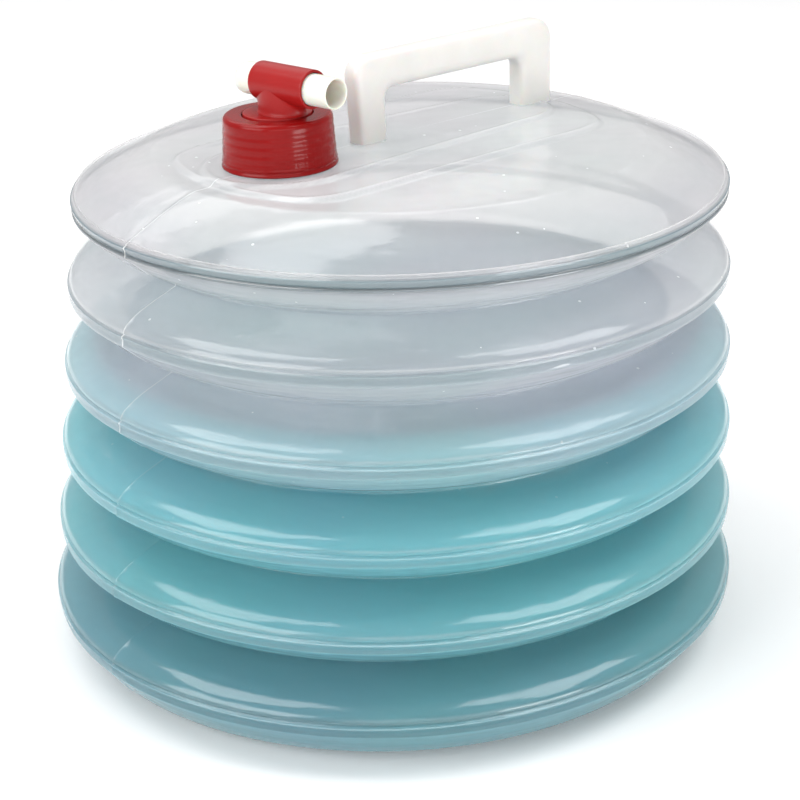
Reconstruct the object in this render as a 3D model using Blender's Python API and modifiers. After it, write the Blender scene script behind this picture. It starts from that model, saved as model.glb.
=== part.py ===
"""Collapsible water carrier: a bellows-walled bottle with a carry handle, a screw cap and a tap.

Lengths are in metres and +Z is up. The origin is the centre of the foot, on the floor.
The six folds lie between a stiff base panel and a stiff top panel. The top panel comes straight
down as the bellows folds up, and carries the handle and the off-centre neck. The screw cap holds
the tap on the neck: the tap swivels in the cap, and its spindle turns to open the spout.
"""

import math

import bmesh
import bpy
from mathutils import Matrix, Vector

# Clearances
TOUCH_GAP = 0.0003
RUNNING_GAP = 0.00025
CUT_MARGIN = 0.0050

# Folds, counted from 0 at the top: rim bands, the grooves between them, and the lean of the stack
FOLD_COUNT = 6
FOLD_PITCH = 0.0342
LOWEST_RIM_HEIGHT = 0.0188
TOP_RIM_RADIUS = 0.1326
RIM_RADIUS_GROWTH = 0.00282
RIM_BAND_HEIGHT = 0.0049
RIM_BAND_PROUD = 0.0007
FOLD_DEPTH = 0.0230
GROOVE_DROP = 0.0157
GROOVE_WIDTH = 0.0010
UNDERSIDE_BULGE = 0.0010
UPPER_FACE_POWER = 2.34
BELLOWS_WALL = 0.0012
TOP_LIP = 0.0015
STACK_LEAN = 0.0081

# Base panel
PANEL_WALL = 0.0016
FOOT_RADIUS = 0.1260
FOOT_RING_WIDTH = 0.0080
FOOT_EDGE_RISE = 0.0012
FLANK_BULGE = 0.0022
PUSH_UP_HEIGHT = 0.0050
PUSH_UP_SLOPE = 0.0120

# Top panel: a shallow dome with two raised pads along the handle
CREST_RADIUS = 0.1000
CREST_RISE = 0.0135
DOME_RISE = 0.0008
SHOULDER_POWER = 1.5
OUTER_PAD_RADIUS = 0.0890
OUTER_PAD_HALF_WIDTH = 0.0490
OUTER_PAD_CORNER = 0.0140
OUTER_PAD_SHIFT = -0.0035
OUTER_PAD_STEP = 0.0012
INNER_PAD_NECK_RADIUS = 0.0305
INNER_PAD_FAR_RADIUS = 0.0230
INNER_PAD_LENGTH = 0.1160
INNER_PAD_STEP = 0.0008
PAD_EDGE_ROUND = 0.0004

# Handle frame: turned about the top panel's axis, with the neck on its -X side
HANDLE_TURN = math.radians(40)
NECK_OFFSET = 0.0600

# Carry handle
HANDLE_THICKNESS = 0.0100
HANDLE_NEAR_END = -0.0227
HANDLE_LENGTH = 0.1067
NEAR_LEG_WIDTH = 0.0138
FAR_LEG_WIDTH = 0.0185
GRIP_DEPTH = 0.0145
HANDLE_HEIGHT = 0.0352
HANDLE_CORNER = 0.0095
FINGER_GAP_CORNER = 0.0035
HANDLE_EDGE_ROUND = 0.0026

# Neck, washer and screw cap
NECK_BORE_RADIUS = 0.0155
NECK_WALL = 0.0020
NECK_HEIGHT = 0.0126
WASHER_THICKNESS = 0.0015
WASHER_OUTER_RADIUS = 0.0186
CAP_HOLE_RADIUS = 0.0138
CAP_RADIUS = 0.0213
CAP_WALL = 0.0020
CAP_TOP_THICKNESS = 0.0035
CAP_TOP_EDGE = 0.0028
CAP_FLARE = 0.0014
CAP_FLARE_HEIGHT = 0.0028
CAP_SKIRT_OVERLAP = 0.0120
GRIP_RIB_COUNT = 36
GRIP_RIB_PROUD = 0.0009
GRIP_RIB_WIDTH = 0.0014
GRIP_RIB_LENGTH = 0.0120

# Tap: a flange held under the cap, a stem towards its spout side, and a barrel across the stem
TAP_TURN = math.radians(-43)
FLANGE_THICKNESS = 0.0020
FLANGE_RADIUS = 0.0186
BOSS_RISE = 0.0044
STEM_OFFSET = 0.0026
STEM_RADIUS = 0.0076
STEM_TOP_RADIUS = 0.0073
STEM_STRETCH = 1.42
STEM_BORE_RADIUS = 0.0042
BARREL_RADIUS = 0.0074
BARREL_HEIGHT = 0.0174
BARREL_BACK = 0.0104
BARREL_FRONT = 0.0176

# Spindle: a tube closed at its knob end, with a side port over the stem's bore
SPINDLE_RADIUS = 0.0060
SPOUT_LENGTH = 0.0295
SPOUT_BORE_RADIUS = 0.0050
KNOB_LENGTH = 0.0204
KNOB_RADIUS = 0.0063
KNOB_ROUND = 0.0028
VALVE_BORE_RADIUS = 0.0040
VALVE_BORE_BACK = 0.0055
PORT_RADIUS = 0.0036
SEAL_OFFSET = 0.0086
SEAL_SECTION_RADIUS = 0.0005
SEAL_SEAT_GAP = 0.00006
SEAL_GROOVE_DEPTH = 0.0009
SEAL_GROOVE_WIDTH = 0.0016

# Facets
RING_SEGMENTS = 40
CAP_SEGMENTS = 36
TUBE_SEGMENTS = 24
FACE_STEPS = 4
INSIDE_FACE_STEPS = 2
SHOULDER_STEPS = 5
INSIDE_SHOULDER_STEPS = 3
MERGE_DISTANCE = 0.00001


# Places worked out from the sizes above


def rim_height(fold):
    """Height of the lower edge of a fold's rim band above the floor."""
    return LOWEST_RIM_HEIGHT + (FOLD_COUNT - 1 - fold) * FOLD_PITCH


def rim_radius(fold):
    """Radius of a fold at its crease, growing evenly from the top fold to the bottom one."""
    return TOP_RIM_RADIUS + RIM_RADIUS_GROWTH * fold


def groove(fold):
    """Radius and height of the groove between a fold and the next one down."""
    radius = (rim_radius(fold) + rim_radius(fold + 1)) / 2 - FOLD_DEPTH
    return radius, rim_height(fold) - GROOVE_DROP


LAST_FOLD = FOLD_COUNT - 1
BELLOWS_FOOT = rim_height(LAST_FOLD) + RIM_BAND_HEIGHT
BELLOWS_HEAD = rim_height(0) + TOP_LIP
TOP_CREASE = rim_height(0) + RIM_BAND_HEIGHT
CREST_HEIGHT = TOP_CREASE + CREST_RISE
OUTER_PAD_HEIGHT = CREST_HEIGHT + OUTER_PAD_STEP
INNER_PAD_HEIGHT = OUTER_PAD_HEIGHT + INNER_PAD_STEP
NECK_TOP = INNER_PAD_HEIGHT + NECK_HEIGHT
NECK_RADIUS = NECK_BORE_RADIUS + NECK_WALL
WASHER_FOOT = NECK_TOP + TOUCH_GAP
FLANGE_FOOT = WASHER_FOOT + WASHER_THICKNESS + TOUCH_GAP
FLANGE_TOP = FLANGE_FOOT + FLANGE_THICKNESS
CAP_CEILING = FLANGE_TOP + TOUCH_GAP
CAP_TOP = CAP_CEILING + CAP_TOP_THICKNESS
CAP_FOOT = NECK_TOP - CAP_SKIRT_OVERLAP
BARREL_AXIS = FLANGE_FOOT + BARREL_HEIGHT
BARREL_BORE_RADIUS = SPINDLE_RADIUS + RUNNING_GAP


# Collections, materials and small helpers


def clear_scene():
    """Start from an empty file."""
    for obj in list(bpy.data.objects):
        bpy.data.objects.remove(obj)


def new_collection(name):
    """Make a collection in the scene."""
    collection = bpy.data.collections.new(name)
    bpy.context.scene.collection.children.link(collection)
    return collection


def make_material(name, colour, roughness, alpha=1.0):
    """Moulded plastic: one colour, no metal, more or less gloss."""
    material = bpy.data.materials.new(name)
    material.use_nodes = True
    shader = material.node_tree.nodes["Principled BSDF"]
    shader.inputs["Base Color"].default_value = (*colour, 1.0)
    shader.inputs["Roughness"].default_value = roughness
    shader.inputs["Metallic"].default_value = 0.0
    shader.inputs["Alpha"].default_value = alpha
    material.diffuse_color = (*colour, alpha)
    return material


def empty(name, collection, location, turn=0.0, parent=None):
    """Place an empty that carries a frame or a joint axis."""
    obj = bpy.data.objects.new(name, None)
    obj.empty_display_size = 0.02
    obj.location = location
    obj.rotation_euler = (0, 0, turn)
    obj.parent = parent
    collection.objects.link(obj)
    return obj


def boolean(obj, tool, operation):
    """Cut the tool from the object or join it to the object, and keep the tool as a guide."""
    modifier = obj.modifiers.new(operation.title() + " " + tool.name, "BOOLEAN")
    modifier.operation = operation
    modifier.object = tool
    tool.display_type = "WIRE"
    tool.hide_render = True


def smooth(obj, angle=35):
    """Shade an object smooth and keep its edges sharp."""
    obj.data.shade_smooth()
    obj.data.set_sharp_from_angle(angle=math.radians(angle))


def arc(centre, radius, start, end, steps):
    """Points along an arc about a centre, in degrees, with both ends."""
    points = []
    for step in range(steps + 1):
        angle = math.radians(start + (end - start) * step / steps)
        x = centre[0] + radius * math.cos(angle)
        y = centre[1] + radius * math.sin(angle)
        points.append((x, y))
    return points


def turned(name, profile, collection, segments, closed=False, parent=None):
    """Turn a profile of radii and heights, listed down its outer side, about the Z axis."""
    edges = [(i, i + 1) for i in range(len(profile) - 1)]
    if closed:
        edges.append((len(profile) - 1, 0))
    mesh = bpy.data.meshes.new(name)
    mesh.from_pydata([(radius, 0.0, height) for radius, height in profile], edges, [])
    obj = bpy.data.objects.new(name, mesh)
    obj.parent = parent
    collection.objects.link(obj)
    screw = obj.modifiers.new("Turn", "SCREW")
    screw.steps = segments
    screw.render_steps = segments
    screw.use_merge_vertices = True
    screw.merge_threshold = MERGE_DISTANCE
    screw.use_smooth_shade = True
    return obj


def inside_of(line, wall):
    """The inner side of a wall whose outer side is a line of radii and heights, ends cut level."""
    points = [Vector(point) for point in line]
    steps = [(end - start).normalized() for start, end in zip(points, points[1:])]
    inward = [Vector((step.y, -step.x)) for step in steps]
    inner = []
    for point, before, after in zip(points[1:-1], inward, inward[1:]):
        mitre = (before + after) * (wall / (1 + before.dot(after)))
        inner.append(tuple(point + mitre))
    return inner


def evaluated_mesh(obj):
    """The object's mesh with its modifiers applied."""
    depsgraph = bpy.context.evaluated_depsgraph_get()
    return bpy.data.meshes.new_from_object(obj.evaluated_get(depsgraph))


def remesh_from_curve(curve_object, collection):
    """Turn a filled curve into a closed mesh object of the same name and place."""
    mesh = evaluated_mesh(curve_object)
    shell = bmesh.new()
    shell.from_mesh(mesh)
    bmesh.ops.remove_doubles(shell, verts=shell.verts, dist=MERGE_DISTANCE)
    shell.to_mesh(mesh)
    shell.free()
    name = curve_object.name
    parent = curve_object.parent
    bpy.context.view_layer.update()
    place = curve_object.matrix_world.copy()
    bpy.data.objects.remove(curve_object)
    obj = bpy.data.objects.new(name, mesh)
    obj.parent = parent
    collection.objects.link(obj)
    bpy.context.view_layer.update()
    obj.matrix_world = place
    return obj


def plate(name, outline, collection, low, high, parent=None):
    """Extrude a flat outline in XY from one height to another."""
    curve = bpy.data.curves.new(name, "CURVE")
    curve.dimensions = "2D"
    curve.fill_mode = "BOTH"
    curve.extrude = (high - low) / 2
    spline = curve.splines.new("POLY")
    spline.points.add(len(outline) - 1)
    for point, (x, y) in zip(spline.points, outline):
        point.co = (x, y, 0.0, 1.0)
    spline.use_cyclic_u = True
    obj = bpy.data.objects.new(name, curve)
    obj.location = (0, 0, (low + high) / 2)
    obj.parent = parent
    collection.objects.link(obj)
    return remesh_from_curve(obj, collection)


def rod(name, radius, start, end, collection, parent):
    """A round bar along X of its parent's frame, from start to end."""
    bpy.ops.mesh.primitive_cylinder_add(vertices=TUBE_SEGMENTS, radius=radius, depth=end - start)
    obj = bpy.context.object
    obj.name = name
    obj.data.transform(Matrix.Translation(((start + end) / 2, 0, 0)) @ Matrix.Rotation(math.pi / 2, 4, "Y"))
    move_to(obj, collection)
    obj.parent = parent
    return obj


def post(name, radius, low, high, collection, parent, segments=TUBE_SEGMENTS):
    """A round bar along Z of its parent's frame, from one height to another."""
    bpy.ops.mesh.primitive_cylinder_add(vertices=segments, radius=radius, depth=high - low)
    obj = bpy.context.object
    obj.name = name
    obj.data.transform(Matrix.Translation((0, 0, (low + high) / 2)))
    move_to(obj, collection)
    obj.parent = parent
    return obj


def move_to(obj, collection):
    """Take an object out of its collections and link it to one."""
    for old in list(obj.users_collection):
        old.objects.unlink(obj)
    collection.objects.link(obj)


def round_edges(obj, width, segments, angle=40):
    """Round the sharp edges of a closed mesh."""
    modifier = obj.modifiers.new("Round", "BEVEL")
    modifier.width = width
    modifier.segments = segments
    modifier.limit_method = "ANGLE"
    modifier.angle_limit = math.radians(angle)
    return modifier


# Profiles of the folded wall


def underside(fold):
    """From a fold's rim down and in to the groove under it, bulging a little outwards."""
    radius, height = groove(fold)
    rim = (rim_radius(fold) + RIM_BAND_PROUD, rim_height(fold))
    middle = ((rim[0] + radius) / 2 + UNDERSIDE_BULGE, (rim[1] + height) / 2 - UNDERSIDE_BULGE)
    return [rim, middle, (radius, height + GROOVE_WIDTH / 2)]


def upper_face(fold, steps):
    """From the groove over a fold out to its crease: nearly level at first, upright at the crease."""
    radius, height = groove(fold - 1)
    height -= GROOVE_WIDTH / 2
    reach = rim_radius(fold) - radius
    drop = height - (rim_height(fold) + RIM_BAND_HEIGHT)
    points = []
    for step in range(steps + 1):
        angle = math.pi / 2 * step / steps
        across = math.sin(angle) ** UPPER_FACE_POWER
        points.append((radius + reach * across, height - drop * (1 - math.cos(angle))))
    return points


def rim_band_top(fold):
    """The small step from a fold's crease out to its rim band."""
    height = rim_height(fold) + RIM_BAND_HEIGHT
    return rim_radius(fold) + RIM_BAND_PROUD, height - RIM_BAND_PROUD


def folded_line(steps):
    """The folded wall's outer side, from the top panel's rim to the crease over the base panel."""
    points = [(rim_radius(0) + RIM_BAND_PROUD, BELLOWS_HEAD)]
    for fold in range(LAST_FOLD):
        points += underside(fold)
        points += upper_face(fold + 1, steps)
        points.append(rim_band_top(fold + 1))
    return points[:-1]


def smooth_line(steps):
    """The same wall without the steps at its creases, which its inner side follows."""
    proud = {rim_band_top(fold) for fold in range(FOLD_COUNT)}
    return [point for point in folded_line(steps) if point not in proud]


def bellows_profile():
    """A closed outline of the folded wall: down its outer side and up its inner side."""
    outer = folded_line(FACE_STEPS)
    foot = (outer[-1][0], BELLOWS_FOOT + TOUCH_GAP)
    outer[-1] = foot
    inner = inside_of(smooth_line(INSIDE_FACE_STEPS), BELLOWS_WALL)
    inner_head = (outer[0][0] - BELLOWS_WALL, BELLOWS_HEAD)
    inner_foot = (foot[0] - BELLOWS_WALL, foot[1])
    return outer + [inner_foot] + inner[::-1] + [inner_head]


def shoulder_line(steps):
    """From the crest of the dome down to its crease, steeper and steeper."""
    reach = rim_radius(0) - CREST_RADIUS
    points = []
    for step in range(steps + 1):
        share = step / steps
        points.append((CREST_RADIUS + reach * share, CREST_HEIGHT - CREST_RISE * share ** SHOULDER_POWER))
    return points


# Parts that are one moulding in the real bottle: base panel, folded wall, top panel and handle


def make_base_panel(parts, material):
    """Lowest rim, flank, standing ring and pushed-up middle."""
    rim = rim_radius(LAST_FOLD) + RIM_BAND_PROUD
    low = rim_height(LAST_FOLD)
    ring = FOOT_RADIUS - FOOT_RING_WIDTH
    flank = [
        (rim, BELLOWS_FOOT),
        (rim, low),
        ((rim + FOOT_RADIUS) / 2 + FLANK_BULGE, low / 2 - FLANK_BULGE),
    ]
    floor = [
        (ring, 0.0),
        (ring - PUSH_UP_SLOPE, PUSH_UP_HEIGHT),
        (0.0, PUSH_UP_HEIGHT),
    ]
    foot_edge = [(FOOT_RADIUS + FOOT_EDGE_RISE, FOOT_EDGE_RISE), (FOOT_RADIUS, 0.0)]
    outer = flank + foot_edge + floor
    inner = inside_of(flank + foot_edge[1:] + floor, PANEL_WALL)
    inner_top = (rim - PANEL_WALL, BELLOWS_FOOT)
    inner_middle = (0.0, PUSH_UP_HEIGHT + PANEL_WALL)
    profile = [inner_middle] + inner[::-1] + [inner_top] + outer
    obj = turned("base_panel", profile, parts, RING_SEGMENTS)
    obj.data.materials.append(material)
    return obj


def make_bellows(parts, material):
    """The folded wall, leaning evenly from the base panel to the top panel."""
    obj = turned("bellows_wall", bellows_profile(), parts, RING_SEGMENTS, closed=True)
    upright = obj.data
    mesh = evaluated_mesh(obj)
    lean = STACK_LEAN / (BELLOWS_HEAD - BELLOWS_FOOT)
    shear = Matrix.Shear("XY", 4, (lean, 0.0))
    foot = Matrix.Translation((0, 0, BELLOWS_FOOT))
    mesh.transform(foot @ shear @ foot.inverted())
    obj.modifiers.clear()
    obj.data = mesh
    bpy.data.meshes.remove(upright)
    obj.data.name = obj.name
    obj.data.materials.append(material)
    return obj


def outer_pad_outline(inset):
    """A strip along the handle with ends on one circle and rounded corners."""
    radius = OUTER_PAD_RADIUS - inset
    corner = OUTER_PAD_CORNER - inset
    side = OUTER_PAD_HALF_WIDTH - OUTER_PAD_CORNER
    along = math.sqrt((radius - corner) ** 2 - side ** 2)
    tip = math.degrees(math.atan2(side, along))
    quarter = arc((0, 0), radius, 0, tip, 4)[:-1] + arc((along, side), corner, tip, 90, 4)
    upper = quarter + [(-x, y) for x, y in reversed(quarter)]
    outline = upper + [(x, -y) for x, y in reversed(upper[1:-1])]
    return [(x + OUTER_PAD_SHIFT, y) for x, y in outline]


def inner_pad_outline(inset):
    """The hull of a circle around the neck and a smaller one past the handle's far foot."""
    near = INNER_PAD_NECK_RADIUS - inset
    far = INNER_PAD_FAR_RADIUS - inset
    lean = math.degrees(math.asin((near - far) / INNER_PAD_LENGTH))
    far_end = arc((INNER_PAD_LENGTH - NECK_OFFSET, 0), far, lean - 90, 90 - lean, 10)
    near_end = arc((-NECK_OFFSET, 0), near, 90 - lean, 270 + lean, 14)
    return far_end + near_end


def top_panel_profile():
    """The domed shell: down its outer side to the rim and back along its inner side."""
    middle = (0.0, CREST_HEIGHT + DOME_RISE)
    foot = BELLOWS_HEAD + TOUCH_GAP
    outer = [middle] + shoulder_line(SHOULDER_STEPS)
    outer += [rim_band_top(0), (rim_radius(0) + RIM_BAND_PROUD, foot)]
    core = [middle] + shoulder_line(INSIDE_SHOULDER_STEPS) + [(rim_radius(0), foot)]
    inner = inside_of(core, PANEL_WALL)
    inner_foot = (rim_radius(0) - PANEL_WALL, foot)
    inner_middle = (0.0, middle[1] - PANEL_WALL)
    return outer + [inner_foot] + inner[::-1] + [inner_middle]


def make_top_panel(parts, tools, handle_frame, neck_frame, top_axis, material):
    """Domed shell with its rim, two raised pads and the neck, hollow under each of them."""
    panel = turned("top_panel", top_panel_profile(), parts, RING_SEGMENTS, parent=top_axis)
    outer_foot = CREST_HEIGHT - PANEL_WALL / 2
    inner_foot = OUTER_PAD_HEIGHT - PANEL_WALL / 2
    under = CREST_HEIGHT - PANEL_WALL - CUT_MARGIN
    pads = [
        ("outer_pad", outer_pad_outline, outer_foot, OUTER_PAD_HEIGHT),
        ("inner_pad", inner_pad_outline, inner_foot, INNER_PAD_HEIGHT),
    ]
    for name, outline, foot, height in pads:
        pad = plate(name, outline(0.0), tools, foot, height, handle_frame)
        round_edges(pad, PAD_EDGE_ROUND, 1)
        boolean(panel, pad, "UNION")
    for name, outline, foot, height in pads:
        recess = plate(name + "_recess", outline(PANEL_WALL), tools, under, height - PANEL_WALL, handle_frame)
        boolean(panel, recess, "DIFFERENCE")
    neck = post("neck", NECK_RADIUS, inner_foot, NECK_TOP, tools, neck_frame, CAP_SEGMENTS)
    boolean(panel, neck, "UNION")
    bore = post("neck_bore", NECK_BORE_RADIUS, under, NECK_TOP + CUT_MARGIN, tools, neck_frame, CAP_SEGMENTS)
    boolean(panel, bore, "DIFFERENCE")
    panel.data.materials.append(material)
    return panel


def handle_outline(foot, crown):
    """The arch seen from the side: two legs and a grip, round outside and in the finger gap."""
    left = HANDLE_NEAR_END
    right = left + HANDLE_LENGTH
    gap_left = left + NEAR_LEG_WIDTH
    gap_right = right - FAR_LEG_WIDTH
    gap_top = crown - GRIP_DEPTH
    bend = HANDLE_CORNER
    inner = FINGER_GAP_CORNER
    outline = [(left, foot), (gap_left, foot)]
    outline += arc((gap_left + inner, gap_top - inner), inner, 180, 90, 3)
    outline += arc((gap_right - inner, gap_top - inner), inner, 90, 0, 3)
    outline += [(gap_right, foot), (right, foot)]
    outline += arc((right - bend, crown - bend), bend, 0, 90, 5)
    outline += arc((left + bend, crown - bend), bend, 90, 180, 5)
    return outline


def make_handle(parts, tools, handle_frame, material):
    """Soft-edged arch, its feet cut level on the inner pad."""
    half = HANDLE_THICKNESS / 2
    foot = INNER_PAD_HEIGHT + TOUCH_GAP
    buried = foot - CUT_MARGIN
    handle = plate("carry_handle", handle_outline(buried, foot + HANDLE_HEIGHT), parts, -half, half)
    handle.data.transform(Matrix.Rotation(math.pi / 2, 4, "X"))
    handle.parent = handle_frame
    round_edges(handle, HANDLE_EDGE_ROUND, 2, angle=60)
    smooth(handle)
    reach = HANDLE_LENGTH
    side = HANDLE_THICKNESS
    floor_outline = [(-reach, -side), (reach, -side), (reach, side), (-reach, side)]
    floor = plate("handle_floor", floor_outline, tools, buried - CUT_MARGIN, foot, handle_frame)
    boolean(handle, floor, "DIFFERENCE")
    handle.data.materials.append(material)
    return handle


# Screw cap and its washer


def make_washer(parts, neck_frame, material):
    """Flat ring between the neck and the tap's flange."""
    top = WASHER_FOOT + WASHER_THICKNESS
    profile = [
        (NECK_BORE_RADIUS, top),
        (WASHER_OUTER_RADIUS, top),
        (WASHER_OUTER_RADIUS, WASHER_FOOT),
        (NECK_BORE_RADIUS, WASHER_FOOT),
    ]
    washer = turned("neck_washer", profile, parts, CAP_SEGMENTS, closed=True, parent=neck_frame)
    washer.data.materials.append(material)
    return washer


def make_cap(parts, tools, neck_frame, material):
    """Ring cap: open top, straight skirt with grip ribs, flared foot."""
    inside = CAP_RADIUS - CAP_WALL
    flare = CAP_RADIUS + CAP_FLARE
    flare_top = CAP_FOOT + CAP_FLARE_HEIGHT
    profile = [
        (CAP_HOLE_RADIUS, CAP_TOP),
        (CAP_RADIUS - CAP_TOP_EDGE, CAP_TOP),
        (CAP_RADIUS, CAP_TOP - CAP_TOP_EDGE),
        (CAP_RADIUS, flare_top),
        (flare, CAP_FOOT + CAP_FLARE / 2),
        (flare, CAP_FOOT),
        (inside, CAP_FOOT),
        (inside, CAP_CEILING),
        (CAP_HOLE_RADIUS, CAP_CEILING),
    ]
    cap = turned("ring_cap", profile, parts, CAP_SEGMENTS, closed=True, parent=neck_frame)
    ribs = make_grip_ribs(tools, neck_frame, flare_top)
    boolean(cap, ribs, "UNION")
    cap.data.materials.append(material)
    return cap


def make_grip_ribs(tools, neck_frame, foot):
    """One tool of upright bars around the skirt."""
    low = foot - CAP_FLARE
    reach = CAP_RADIUS + GRIP_RIB_PROUD
    root = CAP_RADIUS - CAP_WALL / 2
    bars = bmesh.new()
    for index in range(GRIP_RIB_COUNT):
        place = Matrix.Rotation(2 * math.pi * (index + 0.5) / GRIP_RIB_COUNT, 4, "Z")
        place = place @ Matrix.Translation(((root + reach) / 2, 0, low + GRIP_RIB_LENGTH / 2))
        size = Matrix.Diagonal((reach - root, GRIP_RIB_WIDTH, GRIP_RIB_LENGTH, 1.0))
        bmesh.ops.create_cube(bars, size=1.0, matrix=place @ size)
    mesh = bpy.data.meshes.new("grip_ribs")
    bars.to_mesh(mesh)
    bars.free()
    obj = bpy.data.objects.new("grip_ribs", mesh)
    obj.parent = neck_frame
    tools.objects.link(obj)
    return obj


# Tap


def make_tap_body(parts, tools, tap_frame, stem_frame, valve_frame, material):
    """Flange and boss turned on the swivel's axis, with an oval stem, the barrel and the water way."""
    boss_top = FLANGE_TOP + BOSS_RISE
    boss = CAP_HOLE_RADIUS - TOUCH_GAP
    plate_profile = [
        (0.0, boss_top),
        (boss, boss_top),
        (boss, FLANGE_TOP),
        (FLANGE_RADIUS, FLANGE_TOP),
        (FLANGE_RADIUS, FLANGE_FOOT),
        (0.0, FLANGE_FOOT),
    ]
    stem_profile = [
        (0.0, BARREL_AXIS),
        (STEM_TOP_RADIUS, BARREL_AXIS),
        (STEM_RADIUS, BARREL_AXIS - BARREL_RADIUS),
        (STEM_RADIUS, FLANGE_TOP),
        (0.0, FLANGE_TOP),
    ]
    tap = turned("tap_body", plate_profile, parts, CAP_SEGMENTS, parent=tap_frame)
    stem = turned("tap_stem", stem_profile, tools, TUBE_SEGMENTS, parent=stem_frame)
    stem.data.transform(Matrix.Diagonal((STEM_STRETCH, 1.0, 1.0, 1.0)))
    back = -BARREL_BACK
    front = BARREL_FRONT
    barrel = rod("tap_barrel", BARREL_RADIUS, back, front, tools, valve_frame)
    bore = rod("barrel_bore", BARREL_BORE_RADIUS, back - CUT_MARGIN, front + CUT_MARGIN, tools, valve_frame)
    water_way = post("stem_bore", STEM_BORE_RADIUS, FLANGE_FOOT - CUT_MARGIN, BARREL_AXIS, tools, stem_frame)
    boolean(tap, stem, "UNION")
    boolean(tap, barrel, "UNION")
    boolean(tap, bore, "DIFFERENCE")
    boolean(tap, water_way, "DIFFERENCE")
    tap.data.materials.append(material)
    return tap


def make_spindle(parts, tools, valve_frame, material):
    """Tube along X, open at the spout and closed at the knob, with a port and two seal grooves."""
    bottom = SPINDLE_RADIUS - SEAL_GROOVE_DEPTH
    half_groove = SEAL_GROOVE_WIDTH / 2
    knob_start = -(BARREL_BACK + TOUCH_GAP)
    profile = [
        (0.0, -VALVE_BORE_BACK),
        (VALVE_BORE_RADIUS, -VALVE_BORE_BACK),
        (VALVE_BORE_RADIUS, BARREL_FRONT),
        (SPOUT_BORE_RADIUS, BARREL_FRONT),
        (SPOUT_BORE_RADIUS, SPOUT_LENGTH),
        (SPINDLE_RADIUS, SPOUT_LENGTH),
    ]
    for centre in (SEAL_OFFSET, -SEAL_OFFSET):
        profile += [
            (SPINDLE_RADIUS, centre + half_groove),
            (bottom, centre + half_groove),
            (bottom, centre - half_groove),
            (SPINDLE_RADIUS, centre - half_groove),
        ]
    profile += [(SPINDLE_RADIUS, knob_start), (KNOB_RADIUS, knob_start)]
    profile += arc((KNOB_RADIUS - KNOB_ROUND, KNOB_ROUND - KNOB_LENGTH), KNOB_ROUND, 0, -90, 3)
    profile += [(0.0, -KNOB_LENGTH)]
    spindle = turned("valve_spindle", profile, parts, TUBE_SEGMENTS, parent=valve_frame)
    spindle.rotation_euler = (0, math.pi / 2, 0)
    port = post("spindle_port", PORT_RADIUS, 0.0, SPINDLE_RADIUS + CUT_MARGIN, tools, valve_frame)
    port.rotation_euler = (math.pi / 2, 0, 0)
    boolean(spindle, port, "DIFFERENCE")
    spindle.data.materials.append(material)
    return spindle


def make_seal(name, centre, parts, valve_frame, material):
    """O-ring in one of the spindle's grooves."""
    ring_radius = SPINDLE_RADIUS - SEAL_GROOVE_DEPTH + SEAL_SECTION_RADIUS + SEAL_SEAT_GAP
    bpy.ops.mesh.primitive_torus_add(
        major_radius=ring_radius,
        minor_radius=SEAL_SECTION_RADIUS,
        major_segments=TUBE_SEGMENTS,
        minor_segments=6,
    )
    seal = bpy.context.object
    seal.name = name
    seal.data.transform(Matrix.Translation((centre, 0, 0)) @ Matrix.Rotation(math.pi / 2, 4, "Y"))
    move_to(seal, parts)
    seal.parent = valve_frame
    seal.data.shade_smooth()
    seal.data.materials.append(material)
    return seal


def main():
    """Build the carrier: frames first, then every part in its frame."""
    clear_scene()
    parts = new_collection("collapsible_water_carrier")
    tools = new_collection("cutting_tools")

    clear_plastic = make_material("clear_polyethylene", (0.79, 0.83, 0.85), 0.28, alpha=0.75)
    white_plastic = make_material("white_polyethylene", (0.90, 0.89, 0.86), 0.35)
    red_plastic = make_material("red_polypropylene", (0.46, 0.022, 0.020), 0.30)
    ivory_plastic = make_material("ivory_polyethylene", (0.88, 0.88, 0.80), 0.30)
    rubber = make_material("black_rubber", (0.03, 0.03, 0.03), 0.60)

    top_axis = empty("top_axis", tools, (STACK_LEAN, 0, 0))
    handle_frame = empty("handle_frame", tools, (0, 0, 0), HANDLE_TURN, top_axis)
    neck_frame = empty("neck_axis", tools, (-NECK_OFFSET, 0, 0), 0.0, handle_frame)
    tap_frame = empty("tap_axis", tools, (0, 0, 0), TAP_TURN - HANDLE_TURN, neck_frame)
    stem_frame = empty("stem_axis", tools, (STEM_OFFSET, 0, 0), 0.0, tap_frame)
    valve_frame = empty("valve_axis", tools, (0, 0, BARREL_AXIS), 0.0, stem_frame)
    bpy.context.view_layer.update()

    make_base_panel(parts, clear_plastic)
    make_bellows(parts, clear_plastic)
    make_top_panel(parts, tools, handle_frame, neck_frame, top_axis, clear_plastic)
    make_handle(parts, tools, handle_frame, white_plastic)
    make_washer(parts, neck_frame, rubber)
    make_cap(parts, tools, neck_frame, red_plastic)
    make_tap_body(parts, tools, tap_frame, stem_frame, valve_frame, red_plastic)
    make_spindle(parts, tools, valve_frame, ivory_plastic)
    make_seal("spout_seal", SEAL_OFFSET, parts, valve_frame, rubber)
    make_seal("knob_seal", -SEAL_OFFSET, parts, valve_frame, rubber)


main()
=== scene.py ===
# %% [markdown]
# # A collapsible water carrier
#
# The carrier is a blow-moulded bottle of thin, milky plastic. Its wall is folded into six rings,
# so that it packs flat when it is empty. A stiff dome on top holds a white carry handle and a
# neck, and on the neck a red screw cap holds a red tap. Turquoise water fills the lower folds.
#
# The solid model already gives every piece its size and place. This lesson dresses it: it lays
# smooth surfaces over the solids and gives each one a finish. The model is loaded first.

# %% Load the solid model
import math

import bmesh
import bpy
import numpy as np
from mathutils import Matrix, Vector


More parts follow.
